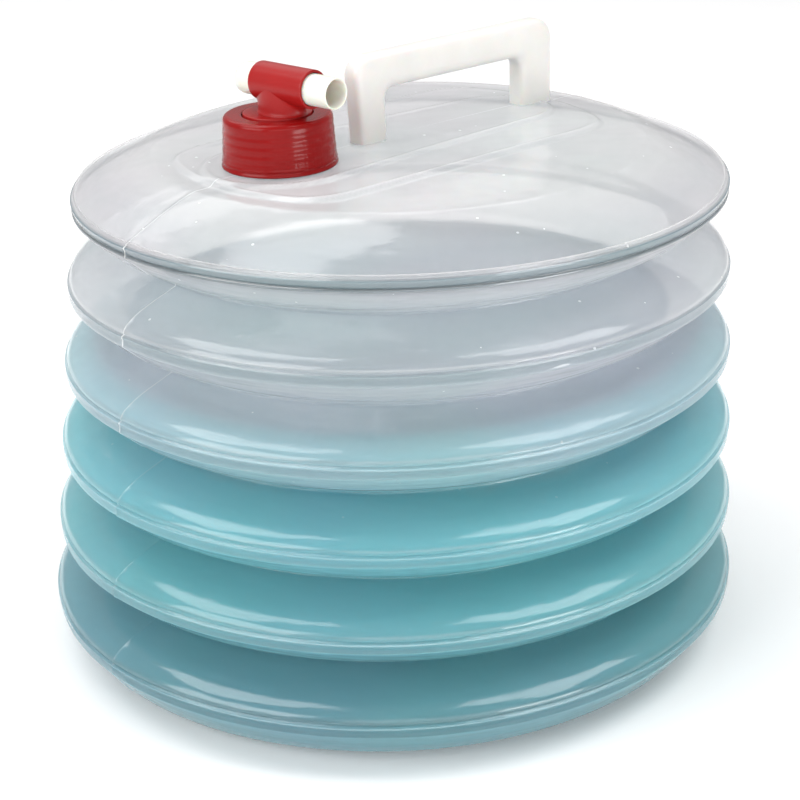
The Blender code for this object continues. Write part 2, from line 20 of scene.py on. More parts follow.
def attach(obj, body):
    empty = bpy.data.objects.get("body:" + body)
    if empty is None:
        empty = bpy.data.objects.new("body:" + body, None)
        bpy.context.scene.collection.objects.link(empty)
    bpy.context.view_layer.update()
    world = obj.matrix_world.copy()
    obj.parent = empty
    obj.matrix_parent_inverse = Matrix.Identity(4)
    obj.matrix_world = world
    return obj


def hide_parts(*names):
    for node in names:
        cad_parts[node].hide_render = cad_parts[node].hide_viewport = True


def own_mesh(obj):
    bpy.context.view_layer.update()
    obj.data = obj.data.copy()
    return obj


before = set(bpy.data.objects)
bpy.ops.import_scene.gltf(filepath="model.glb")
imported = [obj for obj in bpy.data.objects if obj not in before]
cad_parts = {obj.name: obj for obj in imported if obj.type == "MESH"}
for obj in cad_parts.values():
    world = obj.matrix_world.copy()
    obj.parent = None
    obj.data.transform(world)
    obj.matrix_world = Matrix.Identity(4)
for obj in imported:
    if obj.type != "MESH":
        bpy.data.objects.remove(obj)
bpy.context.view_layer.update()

# %% [markdown]
# ## The camera
#
# The view is fixed first, because everything else is judged through it. The ellipses of the six
# rims tell how far the camera looks down, and how fast they widen towards the floor tells how near
# it stands. A long lens, 2.3 times the sensor's width, fits both. The picture is also tipped by
# two degrees, so the camera is rolled by the same angle.

# %% Place the camera
CAMERA_PLACE = Vector((0.0053, -0.7331, 0.4050))
CAMERA_LOOK = Vector((0.0, 0.92018, -0.39149))
CAMERA_ROLL = math.radians(-1.92)
CAMERA_LENS = 83.25
SENSOR_WIDTH = 36.0

camera_data = bpy.data.cameras.new("studio_camera")
camera_data.lens = CAMERA_LENS
camera_data.sensor_width = SENSOR_WIDTH
camera = bpy.data.objects.new("studio_camera", camera_data)
bpy.context.scene.collection.objects.link(camera)
aim = CAMERA_LOOK.to_track_quat("-Z", "Y").to_matrix().to_4x4()
roll = Matrix.Rotation(CAMERA_ROLL, 4, "Z")
camera.matrix_world = Matrix.Translation(CAMERA_PLACE) @ aim @ roll
bpy.context.scene.camera = camera
print("Camera height over the floor:", round(CAMERA_PLACE.z, 3))

# %% [markdown]
# ## The studio
#
# Translucent plastic shows its form by soft reflections. Each fold of the real carrier carries a
# tall, slanting patch of light at the left and one at the right. A fold's upper face turns from
# level to upright, so only lamps that climb on an arc, from low in front to high overhead, fill
# such a patch. Two boxes form that arc on the left, and a small one over the crown leads it on to
# the dome. One box stands high on the right. A wide weak box fills the front, another one
# brightens the back, and a small low strip draws a ladder of glints on the cap. A bright, even
# surrounding and a pale floor do the rest.

# %% Floor, surroundings and soft boxes
FLOOR_SIZE = 9.0
FLOOR_DROP = 0.0004
FLOOR_TONE = (0.96, 0.96, 0.96, 1)
SURROUNDINGS = 0.48
CLEAR_LAYERS = 24

# Each lamp's name, place, target, width, height and power in watts
LAMPS = [
    ("left_soft_box", (-1.95, -1.42, 1.35), (0, 0, 0.10), 2.1, 1.5, 42),
    ("high_left_box", (-0.98, 0.10, 2.00), (0, 0, 0.10), 1.05, 1.25, 15),
    ("crown_box", (-0.42, 0.86, 2.00), (0, 0, 0.20), 0.75, 0.5, 4),
    ("right_soft_box", (0.97, -0.15, 1.80), (0, 0, 0.10), 1.1, 1.1, 15),
    ("back_soft_box", (-0.5, 2.2, 1.9), (0, 0, 0.15), 2.2, 0.8, 7),
    ("front_soft_box", (0.60, -2.70, 1.00), (0, 0, 0.10), 3.2, 1.5, 24),
    ("low_strip", (0.389, -0.460, 0.120), (-0.038, -0.039, 0.225), 0.26, 0.13, 0.9),
]


def node_material(name):
    """A new material with only its output node, and that material's node tree."""
    material = bpy.data.materials.new(name)
    material.use_nodes = True
    material.node_tree.nodes.clear()
    return material, material.node_tree


def add_node(tree, kind, **values):
    """One node of a tree, with the values of its sockets and settings given by name."""
    node = tree.nodes.new(kind)
    for name, value in values.items():
        label = name.replace("_", " ")
        if label in node.inputs:
            node.inputs[label].default_value = value
        else:
            setattr(node, name, value)
    return node


def soft_box(name, place, target, width, height, power):
    """A rectangular lamp at a place, turned towards its target."""
    lamp = bpy.data.lights.new(name, "AREA")
    lamp.shape = "RECTANGLE"
    lamp.size = width
    lamp.size_y = height
    lamp.energy = power
    obj = bpy.data.objects.new(name, lamp)
    obj.location = place
    obj.rotation_euler = (Vector(target) - Vector(place)).to_track_quat("-Z", "Y").to_euler()
    bpy.context.scene.collection.objects.link(obj)


floor_mesh = bpy.data.meshes.new("studio_floor")
half = FLOOR_SIZE / 2
square = ((-half, -half), (half, -half), (half, half), (-half, half))
floor_mesh.from_pydata([(x, y, -FLOOR_DROP) for x, y in square], [], [(0, 1, 2, 3)])
floor = bpy.data.objects.new("studio_floor", floor_mesh)
bpy.context.scene.collection.objects.link(floor)
floor_paint, tree = node_material("floor_paint")
paint = add_node(tree, "ShaderNodeBsdfPrincipled", Base_Color=FLOOR_TONE, Roughness=0.9)
tree.links.new(paint.outputs[0], add_node(tree, "ShaderNodeOutputMaterial").inputs[0])
floor_mesh.materials.append(floor_paint)

world = bpy.data.worlds.new("studio_surroundings")
world.use_nodes = True
sky = world.node_tree.nodes["Background"]
sky.inputs["Color"].default_value = (1.0, 1.0, 1.0, 1)
sky.inputs["Strength"].default_value = SURROUNDINGS
bpy.context.scene.world = world

for lamp in LAMPS:
    soft_box(*lamp)

view = bpy.context.scene.view_settings
view.view_transform = "Standard"
view.look = "None"
bpy.context.scene.cycles.transparent_max_bounces = CLEAR_LAYERS
print("Lamps:", sorted(lamp.name for lamp in bpy.data.lights))

# %% [markdown]
# ## From formulas to meshes
#
# Every surface here is a grid of points worked out from two numbers, such as the distance along a
# profile and the angle around an axis. Two helpers then turn such a grid into faces and into a
# piece that rides on one of the model's bodies. Points that fall together, as at the pole of a
# dome, are merged, so nothing is left open.

# %% Grids, pieces and profiles
MERGE_DISTANCE = 1e-6


def grid_faces(rows, columns, around=True):
    """Faces between the neighbouring rows and columns of a grid, closed around or not."""
    index = np.arange(rows * columns).reshape(rows, columns)
    if around:
        index = np.hstack([index, index[:, :1]])
    corners = [index[:-1, :-1], index[1:, :-1], index[1:, 1:], index[:-1, 1:]]
    return np.stack(corners, axis=-1).reshape(-1, 4)


def add_piece(name, points, faces, body, material, marks=None):
    """A smooth-shaded piece from arrays of points and faces, riding on a body."""
    mesh = bpy.data.meshes.new(name)
    mesh.from_pydata(points.reshape(-1, 3).tolist(), [], faces.tolist())
    for label, values in (marks or {}).items():
        is_vector = values.ndim == points.ndim
        attribute = mesh.attributes.new(label, "FLOAT_VECTOR" if is_vector else "FLOAT", "POINT")
        flat = values.astype(np.float32).ravel()
        attribute.data.foreach_set("vector" if is_vector else "value", flat)
    joined = bmesh.new()
    joined.from_mesh(mesh)
    loose = [corner for corner in joined.verts if not corner.link_faces]
    bmesh.ops.delete(joined, geom=loose, context="VERTS")
    bmesh.ops.remove_doubles(joined, verts=joined.verts, dist=MERGE_DISTANCE)
    joined.to_mesh(mesh)
    joined.free()
    mesh.shade_smooth()
    mesh.materials.append(material)
    obj = bpy.data.objects.new(name, mesh)
    bpy.context.scene.collection.objects.link(obj)
    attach(obj, body)
    return obj


def give_wall(obj, thickness):
    """A thin sheet gets its wall on the inner side."""
    wall = obj.modifiers.new("Wall", "SOLIDIFY")
    wall.thickness = thickness
    wall.offset = -1.0
    wall.use_even_offset = False


def resample(line, spacing):
    """Points at an even spacing along a polyline."""
    steps = np.hypot(*np.diff(line, axis=0).T)
    travelled = np.concatenate([[0], np.cumsum(steps)])
    count = max(2, int(round(travelled[-1] / spacing)) + 1)
    at = np.linspace(0, travelled[-1], count)
    return np.column_stack([np.interp(at, travelled, line[:, k]) for k in (0, 1)])


def soften(line, spacing, reach):
    """The same line with its corners rounded by a running bell-shaped mean; its ends stay put."""
    fine = resample(line, spacing)
    half_width = int(3 * reach / spacing)
    bell = np.exp(-0.5 * (np.arange(-half_width, half_width + 1) * spacing / reach) ** 2)
    before = 2 * fine[0] - fine[half_width:0:-1]
    after = 2 * fine[-1] - fine[-2:-half_width - 2:-1]
    padded = np.vstack([before, fine, after])
    smooth = [np.convolve(padded[:, k], bell / bell.sum(), "valid") for k in (0, 1)]
    return np.column_stack(smooth)


def thin_out(line, longest, bend_weight):
    """Fewer points: far apart where the line runs straight, close together where it bends."""
    steps = np.diff(line, axis=0)
    lengths = np.hypot(*steps.T)
    heading = np.unwrap(np.arctan2(steps[:, 1], steps[:, 0]))
    bends = np.abs(np.diff(heading, prepend=heading[0]))
    cost = np.concatenate([[0], np.cumsum(lengths / longest + bends * bend_weight)])
    count = int(math.ceil(cost[-1])) + 1
    at = np.linspace(0, cost[-1], count)
    return np.column_stack([np.interp(at, cost, line[:, k]) for k in (0, 1)])


print("Helpers ready: a grid of 3 by 4 points gives", len(grid_faces(3, 4)), "faces")

# %% [markdown]
# ## The outline of the shell
#
# Seen in section, the whole shell is one line: the dome, six rims with five grooves between them,
# the flank, the standing ring and the pushed-up floor. Each fold has a long convex upper face that
# starts nearly level in the groove and stands upright at its crease. There a fine notch and a bead
# catch the light, and a narrow rim band stands a little proud below them. A short underside leads
# back to the groove. A quarter turn of a sine and a cosine gives the convex face, and a power just
# over one gives the dome's crisp crest. The line is worked out once and cut in three, so that the
# dome, the folded wall and the base meet without a step.

# %% Sizes of the folds, and the shell's outline
FOLD_COUNT = 6
FOLD_PITCH = 0.0342
LOWEST_RIM_HEIGHT = 0.0188
TOP_RIM_RADIUS = 0.1326
RIM_RADIUS_GROWTH = 0.00282
RIM_BAND_HEIGHT = 0.0049
RIM_BAND_PROUD = 0.0007
FOLD_DEPTH = 0.0230
GROOVE_DROP = 0.0157
GROOVE_WIDTH = 0.0010
UNDERSIDE_BULGE = 0.0010
TOP_LIP = 0.0015
UPPER_FACE_POWER = 2.34
STACK_LEAN = 0.0081
CREST_RADIUS = 0.1000
CREST_RISE = 0.0135
DOME_RISE = 0.0008
SHOULDER_POWER = 1.2
FOOT_RADIUS = 0.1260
FOOT_RING_WIDTH = 0.0080
FOOT_EDGE = 0.0006
FLANK_BULGE = 0.0022
PUSH_UP_HEIGHT = 0.0050
PUSH_UP_SLOPE = 0.0120
CREASE_NOTCH = 0.0005
RIM_BEAD = 0.0002
NOTCH_END, BEAD_START, BEAD_END, CHANNEL_START = 0.0002, 0.0008, 0.0013, 0.0019
CHANNEL_END, EDGE_START = 0.0011, 0.0004
FACE_STEPS = 24
OUTLINE_SPACING = 0.0001
OUTLINE_SOFTNESS = 0.00022

fold = np.arange(FOLD_COUNT)
RIM_RADIUS = TOP_RIM_RADIUS + RIM_RADIUS_GROWTH * fold
RIM_HEIGHT = LOWEST_RIM_HEIGHT + (FOLD_COUNT - 1 - fold) * FOLD_PITCH
GROOVE_RADIUS = (RIM_RADIUS[:-1] + RIM_RADIUS[1:]) / 2 - FOLD_DEPTH
GROOVE_HEIGHT = RIM_HEIGHT[:-1] - GROOVE_DROP
CREASE_HEIGHT = RIM_HEIGHT + RIM_BAND_HEIGHT
WALL_HEAD = RIM_HEIGHT[0] + TOP_LIP
WALL_FOOT = CREASE_HEIGHT[-1]
CREST_HEIGHT = CREASE_HEIGHT[0] + CREST_RISE


def rim_band(f):
    """The notch of the crease, a bead, and a shallow channel down to the band's lower edge."""
    radius, crease, lower = RIM_RADIUS[f], CREASE_HEIGHT[f], RIM_HEIGHT[f]
    proud = radius + RIM_BAND_PROUD
    return [
        (radius - CREASE_NOTCH, crease),
        (radius - CREASE_NOTCH, crease - NOTCH_END),
        (proud + RIM_BEAD, crease - BEAD_START),
        (proud + RIM_BEAD, crease - BEAD_END),
        (proud - RIM_BEAD, crease - CHANNEL_START),
        (proud - RIM_BEAD, lower + CHANNEL_END),
        (proud, lower + EDGE_START),
        (proud, lower),
    ]


def upper_face(f):
    """A quarter turn, groove to crease: out by a power of the sine, down by 1 minus the cosine."""
    turn = np.linspace(0, np.pi / 2, FACE_STEPS)
    radius, height = GROOVE_RADIUS[f - 1], GROOVE_HEIGHT[f - 1] - GROOVE_WIDTH / 2
    across = radius + (RIM_RADIUS[f] - radius) * np.sin(turn) ** UPPER_FACE_POWER
    down = height - (height - CREASE_HEIGHT[f]) * (1 - np.cos(turn))
    return list(zip(across, down))


def underside(f):
    """Rim to groove, through a middle point that is pushed outwards and down by the bulge."""
    rim = RIM_RADIUS[f] + RIM_BAND_PROUD
    across = (rim + GROOVE_RADIUS[f]) / 2 + UNDERSIDE_BULGE
    up = (RIM_HEIGHT[f] + GROOVE_HEIGHT[f]) / 2 - UNDERSIDE_BULGE
    return [(across, up), (GROOVE_RADIUS[f], GROOVE_HEIGHT[f] + GROOVE_WIDTH / 2)]


def shell_outline():
    """The whole line from the dome's middle to the floor's middle, as radii and heights."""
    share = np.linspace(0, 1, FACE_STEPS)
    shoulder = CREST_RADIUS + (RIM_RADIUS[0] - CREST_RADIUS) * share
    points = [(0.0, CREST_HEIGHT + DOME_RISE)]
    points += list(zip(shoulder, CREST_HEIGHT - CREST_RISE * share ** SHOULDER_POWER))
    for f in range(FOLD_COUNT):
        if f > 0:
            points += upper_face(f)
        points += rim_band(f)
        if f < FOLD_COUNT - 1:
            points += underside(f)
    rim = RIM_RADIUS[-1] + RIM_BAND_PROUD
    ring = FOOT_RADIUS - FOOT_RING_WIDTH
    points += [
        ((rim + FOOT_RADIUS) / 2 + FLANK_BULGE, RIM_HEIGHT[-1] / 2 - FLANK_BULGE),
        (FOOT_RADIUS + FOOT_EDGE, FOOT_EDGE),
        (FOOT_RADIUS - FOOT_EDGE, 0.0),
        (ring, 0.0),
        (ring - PUSH_UP_SLOPE, PUSH_UP_HEIGHT),
        (0.0, PUSH_UP_HEIGHT),
    ]
    return np.array(points)


outline = soften(shell_outline(), OUTLINE_SPACING, OUTLINE_SOFTNESS)
outline[:, 1] = np.maximum(outline[:, 1], 0.0)
head = int(np.argmax((outline[:, 0] > RIM_RADIUS[0]) & (outline[:, 1] < WALL_HEAD)))
foot = int(np.argmax(outline[:, 1] < WALL_FOOT))
print("Outline points:", len(outline), "and its cuts' heights:", outline[[head, foot], 1].round(4))

# %% [markdown]
# ## The folded wall
#
# The wall could be six rings, but the real one is a single soft skin, so it is one surface turned
# about the axis. The photographed stack leans by some 8 mm, so the skin is sheared sideways in
# step with its height. Where the two halves of the mould met, a fine thread of plastic stands up
# the side: extra columns of points make room for it. Each point also remembers where it was at
# rest, and how much of a seam or of a rim band it is, so that the finish stays on the plastic when
# the wall folds.

# %% Make the folded wall
HANDLE_TURN = math.radians(40)
WALL_COLUMNS = 232
WALL_THICKNESS = 0.0012
WALL_SPACING = 0.0036
WALL_DENT = 0.0005
SEAM_HEIGHT = 0.00028
SEAM_HALF_WIDTH = 0.0045
CALM_RADIUS = 0.1
WAVE_COUNT = 6
WAVE_SIZE = 0.11
WAVE_STRETCH = 1.6
WAVE_SPREAD = (0.7, 1.6)
WAVE_TURN = 6.28
WAVE_SEED = 3


def around_with_seams(columns):
    """Angles around the shell, with five close together at each of its two parting lines."""
    even = np.arange(columns) * 2 * np.pi / columns
    near = np.array([-1.0, -0.5, 0.0, 0.5, 1.0]) * SEAM_HALF_WIDTH
    seams = np.concatenate([HANDLE_TURN + near, HANDLE_TURN + np.pi + near])
    away = np.abs((even[:, None] - seams[[2, 7]] + np.pi) % (2 * np.pi) - np.pi).min(axis=1)
    return np.sort(np.concatenate([even[away > 2 * SEAM_HALF_WIDTH], seams]))


def seam_share(angle):
    """1 on a parting line, falling to 0 beside it."""
    away = (angle - HANDLE_TURN + np.pi / 2) % np.pi - np.pi / 2
    return np.clip(1 - np.abs(away) / SEAM_HALF_WIDTH, 0, 1)


def waves(x, y, z, size, seed):
    """A gentle unevenness between -1 and 1: a sum of sine waves in fixed, mixed directions."""
    rng = np.random.default_rng(seed)
    total = 0
    for _ in range(WAVE_COUNT):
        direction = rng.normal(size=3)
        wave_length = size * rng.uniform(*WAVE_SPREAD)
        direction *= 2 * np.pi / wave_length / np.linalg.norm(direction)
        phase = direction[0] * x + direction[1] * y + direction[2] * z
        total = total + np.sin(phase + rng.uniform(0, WAVE_TURN))
    return total / WAVE_COUNT


def lean(height):
    """Sideways shift at a height: none at the base, growing evenly to the top panel."""
    return STACK_LEAN * np.clip((height - WALL_FOOT) / (WALL_HEAD - WALL_FOOT), 0, 1)


def shell_points(line, angle, dent):
    """Turn a line of radii and heights about the leaning axis, with seams and gentle dents."""
    radius, height = line[:, 0][:, None], line[:, 1][:, None]
    x, y = radius * np.cos(angle), radius * np.sin(angle)
    calm = np.clip(radius / CALM_RADIUS, 0, 1)
    swell = dent * calm * waves(x, y, height * WAVE_STRETCH, WAVE_SIZE, WAVE_SEED)
    swell = swell + SEAM_HEIGHT * calm * seam_share(angle)
    points = np.empty((len(line), len(angle), 3))
    points[..., 0] = (radius + swell) * np.cos(angle) + lean(height)
    points[..., 1] = (radius + swell) * np.sin(angle)
    points[..., 2] = height
    return points


# Painted shade on the rim bands: a darker tint, strongest on the top rim.
RIM_SHADE = np.array([1.0, 0.85, 0.75, 0.50, 0.50, 0.50])
BAND_EDGE = 0.0002
BAND_UPPER_FADE = 0.0004
BAND_LOWER_FADE = 0.0005
BAND_REACH = 0.0020


def band_shade_share(line):
    """How much cover and painted shade each rim's band gets, 0 outside it; most on the top one."""
    radius, height = line[:, 0], line[:, 1]
    below = CREASE_HEIGHT[:, None] - height
    begun = np.clip((below - BAND_EDGE) / BAND_UPPER_FADE, 0, 1)
    left = np.clip((RIM_BAND_HEIGHT + BAND_EDGE - below) / BAND_LOWER_FADE, 0, 1)
    outside = radius > RIM_RADIUS[:, None] - BAND_REACH
    return (begun * left * outside * RIM_SHADE[:, None]).max(axis=0)


def shell_marks(line, angle, points):
    """What the finish reads per point: rest place, seam share, rim band share with painted shade.
    """
    seam = np.broadcast_to(seam_share(angle), points.shape[:2])
    band = np.broadcast_to(band_shade_share(line)[:, None], points.shape[:2])
    return {"rest_place": points, "seam": seam, "band": band}


angles = around_with_seams(WALL_COLUMNS)
wall_line = thin_out(outline[head:foot + 1], WALL_SPACING, 2.0)
wall_points = shell_points(wall_line, angles, WALL_DENT)
wall_faces = grid_faces(len(wall_line), len(angles))
print("Wall grid:", len(wall_line), "by", len(angles))

# %% [markdown]
# ## Milky plastic and water
#
# The plastic is thin, glossy and cloudy. A wholly clear shader would show every fold behind every
# other one, and a solid one would look like porcelain. So light partly passes straight through the
# sheet and partly scatters in it, and more of the sheet counts where it is seen edge-on, because
# the path through it is longer there. A ramp over the height gives the tone: the water behind the
# sheet colours it grey in the dry folds and turquoise in the wet ones. The same ramp darkens
# towards the foot, partly for the deeper water and partly as painted shade. It also darkens a ring
# on the dome's shoulder just above the top rim, which is painted shade alone. The rim bands are
# thicker, so they hide more of what lies behind them, and they carry a painted shade, darkest on
# the top one. The mould's seam and a few trapped flecks are pale. The flow marks of the moulding
# are a weak bump, stretched around the shell. The water gets a denser tint of its own. It is
# darker towards the foot, partly for depth and partly as painted shade, and pale at its level
# top, which is a painted reflection.

# %% Finishes for the shell
WATER_LEVEL = 0.1335


def rest_place(tree):
    """Where a point lay at rest, which the shell's pieces carry as an attribute."""
    return add_node(tree, "ShaderNodeAttribute", attribute_name="rest_place").outputs["Vector"]


def mark(tree, name):
    """A share that the shell's pieces carry at each point, such as how much of a seam it is."""
    return add_node(tree, "ShaderNodeAttribute", attribute_name=name).outputs["Fac"]


def noise(tree, place, size, detail=2.0):
    """A cloudy value around one half, with patches of about the given size in metres."""
    cloud = add_node(tree, "ShaderNodeTexNoise", Scale=1 / size, Detail=detail, Roughness=0.5)
    tree.links.new(place, cloud.inputs["Vector"])
    return cloud.outputs[0]


def count(tree, operation, first, second, third=0.0):
    """A sum worked out by a node, from sockets or plain numbers."""
    node = add_node(tree, "ShaderNodeMath", operation=operation)
    for socket, value in zip(node.inputs, (first, second, third)):
        if isinstance(value, float):
            socket.default_value = value
        else:
            tree.links.new(value, socket)
    return node.outputs[0]


def blended(tree, share, first, second, blend="MIX"):
    """Two colours mixed by a share; each is a socket or a plain colour."""
    node = add_node(tree, "ShaderNodeMix", data_type="RGBA", blend_type=blend)
    for name, value in (("Factor", share), ("A", first), ("B", second)):
        socket = node.inputs[name]
        if isinstance(value, float):
            socket.default_value = value
        elif isinstance(value, tuple):
            socket.default_value = (*value, 1)
        else:
            tree.links.new(value, socket)
    return node.outputs[2]


def tones_by_height(tree, height, stops):
    """A ramp over the height: its colour is the tone, its alpha how much of the back it hides."""
    low, high = stops[0][0], stops[-1][0]
    span = add_node(tree, "ShaderNodeMapRange", From_Min=low, From_Max=high)
    tree.links.new(height, span.inputs["Value"])
    ramp = add_node(tree, "ShaderNodeValToRGB")
    tree.links.new(span.outputs[0], ramp.inputs[0])
    places = ramp.color_ramp.elements
    for level, tone, cover in stops[1:-1]:
        places.new((level - low) / (high - low)).color = (*tone, cover)
    places[0].color = (*stops[0][1], stops[0][2])
    places[-1].color = (*stops[-1][1], stops[-1][2])
    return ramp


def see_through(tree, body, share):
    """The body's shader over a wholly clear one, mixed by a share, as the material's output."""
    mix = add_node(tree, "ShaderNodeMixShader")
    tree.links.new(share, mix.inputs[0])
    tree.links.new(add_node(tree, "ShaderNodeBsdfTransparent").outputs[0], mix.inputs[1])
    tree.links.new(body.outputs[0], mix.inputs[2])
    tree.links.new(mix.outputs[0], add_node(tree, "ShaderNodeOutputMaterial").inputs[0])


# Height, tone and cover of the shell's ramp, which also carries painted shade.
SHELL_TONES_AND_SHADE = [
    # The lowest stops are darker, partly for deeper water and partly as painted shade.
    (0.000, (0.080, 0.225, 0.265), 0.62),
    (0.030, (0.170, 0.390, 0.455), 0.55),
    (0.060, (0.210, 0.510, 0.580), 0.50),
    (0.104, (0.240, 0.570, 0.660), 0.50),
    (0.108, (0.420, 0.580, 0.620), 0.50),
    (0.128, (0.420, 0.620, 0.690), 0.46),
    (0.139, (0.530, 0.580, 0.630), 0.46),
    (0.150, (0.500, 0.510, 0.535), 0.46),
    (0.172, (0.480, 0.520, 0.540), 0.46),
    (0.187, (0.500, 0.480, 0.495), 0.46),
    # Painted shade: a darker ring on the dome's shoulder, just above the top rim.
    (0.199, (0.440, 0.435, 0.450), 0.45),
    (0.206, (0.560, 0.530, 0.525), 0.42),
]
# Water tone by height: darker towards the foot, partly for depth and partly as painted shade; the
# pale tone at the level top is a painted reflection.
WATER_TONES_AND_SHADE = [
    (0.0000, (0.055, 0.240, 0.290), 1.0),
    (0.0300, (0.070, 0.290, 0.350), 1.0),
    (0.0700, (0.100, 0.480, 0.530), 1.0),
    (0.1040, (0.115, 0.510, 0.580), 1.0),
    (0.1090, (0.230, 0.520, 0.590), 1.0),
    (0.1326, (0.330, 0.590, 0.660), 1.0),
    (0.1335, (0.500, 0.600, 0.700), 1.0),
]
SHELL_CLOUDS = (1.14, 0.94, 1.04), (0.80, 1.05, 0.95)
WATER_CLOUDS = (1.12, 0.92, 1.02), (0.84, 1.06, 0.98)
SCATTER_EVENLY = (1.0, 1.0, 1.0)
# The tint of the painted shade on the rim bands.
BAND_PAINTED_SHADE = (0.22, 0.31, 0.34)
PALE_TONE = (0.86, 0.88, 0.88)
WET_HEIGHT, DRY_HEIGHT = 0.090, 0.150
PALE_WET_SHARE, PALE_DRY_SHARE = 0.02, 0.70
FLECKS_PER_METRE = 85.0
FLECK_SIZE = 0.050


def height_of(tree, place):
    """The height of a place, as a socket."""
    split = add_node(tree, "ShaderNodeSeparateXYZ")
    tree.links.new(place, split.inputs[0])
    return split.outputs["Z"]


def pale_share(tree, place, height):
    """How much of a point is pale seam or fleck, which fades away where the wall is wet."""
    dry = add_node(tree, "ShaderNodeMapRange", From_Min=WET_HEIGHT, From_Max=DRY_HEIGHT,
                   To_Min=PALE_WET_SHARE, To_Max=PALE_DRY_SHARE)
    tree.links.new(height, dry.inputs["Value"])
    seam = count(tree, "MULTIPLY", mark(tree, "seam"), dry.outputs[0])
    speck = add_node(tree, "ShaderNodeTexVoronoi", Scale=FLECKS_PER_METRE)
    tree.links.new(place, speck.inputs["Vector"])
    fleck = count(tree, "LESS_THAN", speck.outputs["Distance"], FLECK_SIZE)
    return count(tree, "MAXIMUM", seam, count(tree, "MULTIPLY", fleck, dry.outputs[0]))


def towards_edge(tree, blend, middle, edge_share):
    """A share that goes from its value seen straight on to another one seen edge-on."""
    edge = add_node(tree, "ShaderNodeLayerWeight", Blend=blend)
    mix = add_node(tree, "ShaderNodeMix", data_type="FLOAT")
    tree.links.new(edge.outputs["Facing"], mix.inputs["Factor"])
    if isinstance(middle, float):
        mix.inputs["A"].default_value = middle
    else:
        tree.links.new(middle, mix.inputs["A"])
    mix.inputs["B"].default_value = edge_share
    return mix.outputs[0]


def scattering_body(tree, scatter, scale, **values):
    """A glossy shader in which a share of the light wanders on for about the given distance."""
    return add_node(tree, "ShaderNodeBsdfPrincipled", Subsurface_Weight=scatter,
                    Subsurface_Radius=SCATTER_EVENLY, Subsurface_Scale=scale, **values)


def milky_plastic(name, scatter):
    """Cloudy thin plastic: scattering, partly see-through, toned by what is behind it and painted
    shade.
    """
    material, tree = node_material(name)
    link = tree.links.new
    place = rest_place(tree)
    height = height_of(tree, place)
    pale, band = pale_share(tree, place, height), mark(tree, "band")
    unevenness = count(tree, "SUBTRACT", noise(tree, place, 0.045, 3.0), 0.5)
    wavy_height = count(tree, "MULTIPLY_ADD", unevenness, 0.008, height)
    # The ramp's tone includes painted shade at the foot and on the dome's shoulder.
    tones = tones_by_height(tree, wavy_height, SHELL_TONES_AND_SHADE)
    tint = blended(tree, noise(tree, place, 0.090), *SHELL_CLOUDS)
    colour = blended(tree, 1.0, tones.outputs["Color"], tint, "MULTIPLY")
    # Painted shade: the rim bands are darkened.
    colour = blended(tree, band, colour, BAND_PAINTED_SHADE, "MULTIPLY")
    colour = blended(tree, pale, colour, PALE_TONE)
    cover = count(tree, "MAXIMUM", count(tree, "MAXIMUM", tones.outputs["Alpha"], band), pale)
    cover = towards_edge(tree, 0.35, cover, 0.97)
    stretched = add_node(tree, "ShaderNodeMapping", Scale=(1.0, 1.0, 5.0))
    link(place, stretched.inputs["Vector"])
    bump = add_node(tree, "ShaderNodeBump", Strength=0.30, Distance=0.0020)
    link(noise(tree, stretched.outputs[0], 0.030), bump.inputs["Height"])
    gloss = {"Roughness": 0.11, "IOR": 1.51, "Specular_IOR_Level": 1.0}
    plastic = scattering_body(tree, scatter, 0.015, **gloss)
    link(colour, plastic.inputs["Base Color"])
    link(bump.outputs[0], plastic.inputs["Normal"])
    inner = add_node(tree, "ShaderNodeNewGeometry").outputs["Backfacing"]
    outer = count(tree, "SUBTRACT", 1.0, inner)
    see_through(tree, plastic, count(tree, "MULTIPLY", cover, outer))
    return material


def water_finish(name, scatter):
    """Tinted water: dense where one looks deep into it, thin where one looks past its edge."""
    material, tree = node_material(name)
    place = rest_place(tree)
    # The ramp paints shade low down and a reflection on the top.
    tones = tones_by_height(tree, height_of(tree, place), WATER_TONES_AND_SHADE)
    tint = blended(tree, noise(tree, place, 0.080), *WATER_CLOUDS)
    colour = blended(tree, 1.0, tones.outputs["Color"], tint, "MULTIPLY")
    body = scattering_body(tree, scatter, 0.030, Roughness=0.25, IOR=1.33)
    tree.links.new(colour, body.inputs["Base Color"])
    see_through(tree, body, towards_edge(tree, 0.5, 0.96, 0.45))
    return material


shell_plastic = milky_plastic("milky_shell", 0.8)
water_body_finish = water_finish("turquoise_water", 0.8)
print("Shell finish nodes:", len(shell_plastic.node_tree.nodes))

# %% [markdown]
# ## The wall's thickness
#
# The sheet gets its thickness on the inner side. Blow moulding stretches a wall the most, and so
# leaves it thinnest, at its widest ring. The wall's head lies in the rim under the dome, which is
# such a ring, so it tapers towards that head. This also leaves the dome room when the carrier
# folds up, because folding flattens the surface and not its thickness.

# %% Put the wall on the model
HEAD_TAPER = 0.0075


def thin_towards_head(obj):
    """The wall's thickness grows with the distance below its head, up to the taper's length."""
    places = np.empty(len(obj.data.vertices) * 3, dtype=np.float32)
    obj.data.vertices.foreach_get("co", places)
    share = np.clip((WALL_HEAD - places[2::3]) / HEAD_TAPER, 0.02, 1).round(2)
    group = obj.vertex_groups.new(name="wall_share")
    for level in np.unique(share):
        group.add(np.flatnonzero(share == level).tolist(), float(level), "REPLACE")
    obj.modifiers["Wall"].vertex_group = group.name


wall_marks = shell_marks(wall_line, angles, wall_points)
folded_wall = add_piece("folded_wall", wall_points, wall_faces, "base", shell_plastic, wall_marks)
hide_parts("bellows_wall")
give_wall(folded_wall, WALL_THICKNESS)
thin_towards_head(folded_wall)
print("Folded wall points:", len(folded_wall.data.vertices))

